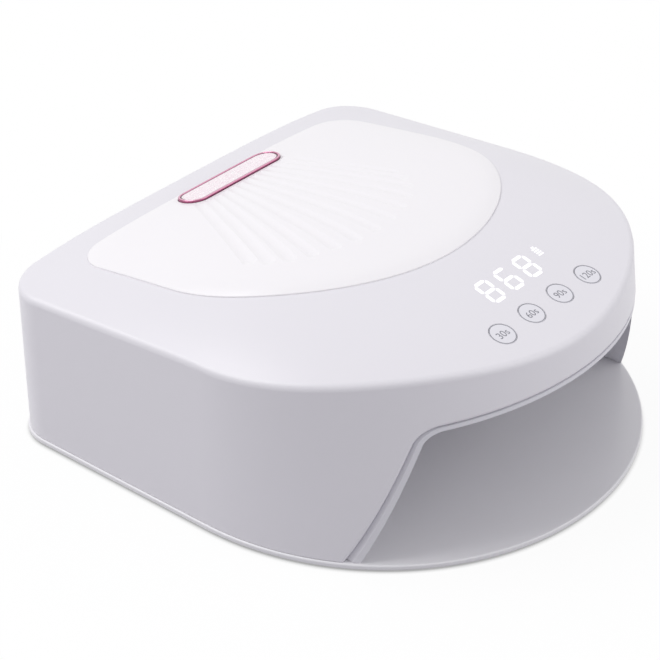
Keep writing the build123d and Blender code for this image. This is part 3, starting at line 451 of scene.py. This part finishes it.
# Floor, sky and lamp
def white_to_camera(tree, plain, shown):
    """Gives camera, mirror and glass rays the shown shader, and every other ray the plain one."""
    path = node(tree, "LightPath")
    seen = node(tree, "Math", {0: path.outputs["Is Camera Ray"], 1: path.outputs["Is Glossy Ray"]},
                operation="MAXIMUM")
    seen = node(tree, "Math", {0: seen.outputs["Value"], 1: path.outputs["Is Transmission Ray"]},
                operation="MAXIMUM")
    return node(tree, "MixShader", {0: seen.outputs["Value"], 1: plain, 2: shown}).outputs["Shader"]


floor_finish, tree, output, place = new_material("pale_paper_floor")
away = node(tree, "VectorMath", {0: place}, operation="LENGTH")
fade = node(tree, "MapRange", {"Value": away.outputs["Value"], "From Min": floor_fade_start,
                               "From Max": floor_fade_end, "To Min": floor_whiteness})
paper = node(tree, "BsdfDiffuse", {"Color": linear(floor_hex)}).outputs["BSDF"]
# Painted contact shadow: ambient occlusion dims the floor's camera-seen white right under the tray
near = node(tree, "AmbientOcclusion", {"Distance": contact_reach}, samples=contact_samples).outputs["AO"]
painted_contact_shadow = node(tree, "MapRange", {
    "Value": near, "From Min": contact_covered, "From Max": contact_open, "To Min": contact_shade,
}).outputs["Result"]
white = node(tree, "Emission", {"Color": linear("#FFFFFF"), "Strength": painted_contact_shadow}).outputs["Emission"]
faded = node(tree, "MixShader", {0: fade.outputs["Result"], 1: paper, 2: white}).outputs["Shader"]
bounce = node(tree, "BsdfDiffuse", {"Color": linear(bounce_hex)}).outputs["BSDF"]
tree.links.new(white_to_camera(tree, bounce, faded), output.inputs["Surface"])

form = bmesh.new()
bmesh.ops.create_circle(form, cap_ends=True, segments=floor_steps, radius=floor_radius)
floor_mesh = bpy.data.meshes.new("floor")
form.to_mesh(floor_mesh)
form.free()
floor_mesh.materials.append(floor_finish)
floor = bpy.data.objects.new("floor", floor_mesh)
bpy.context.scene.collection.objects.link(floor)

world = bpy.data.worlds.new("studio")
world.use_nodes = True
tree = world.node_tree
tree.nodes.clear()
output = node(tree, "OutputWorld")
sky = node(tree, "Background", {"Color": linear(sky_hex), "Strength": sky_strength}).outputs["Background"]
white = node(tree, "Background", {"Color": linear("#FFFFFF"), "Strength": 1.0}).outputs["Background"]
tree.links.new(white_to_camera(tree, sky, white), output.inputs["Surface"])
bpy.context.scene.world = world

for name, light in (("key_light", key_light), ("fill_light", fill_light)):
    lamp = bpy.data.lights.new(name, "AREA")
    lamp.size = light["side"]
    lamp.energy = light["power"]
    softbox = bpy.data.objects.new(name, lamp)
    softbox.location = light["place"]
    softbox.rotation_mode = "QUATERNION"
    softbox.rotation_quaternion = softbox.location.to_track_quat("Z", "Y")
    bpy.context.scene.collection.objects.link(softbox)

# Camera
right = Vector((math.cos(camera_azimuth), math.sin(camera_azimuth), 0))
back = Vector((math.sin(camera_azimuth) * math.cos(camera_elevation),
               -math.cos(camera_azimuth) * math.cos(camera_elevation),
               math.sin(camera_elevation)))
up = back.cross(right)
eye = bpy.data.cameras.new("camera")
eye.sensor_width = camera_sensor
eye.lens = camera_sensor * camera_focal_pixels / frame_pixels
camera = bpy.data.objects.new("camera", eye)
turn = Matrix((right, up, back)).transposed().to_4x4()
spot = right * camera_right_shift + up * camera_up_shift + back * camera_distance
camera.matrix_world = Matrix.Translation(spot) @ turn
bpy.context.scene.collection.objects.link(camera)
bpy.context.scene.camera = camera

bpy.context.scene.view_settings.view_transform = "Standard"
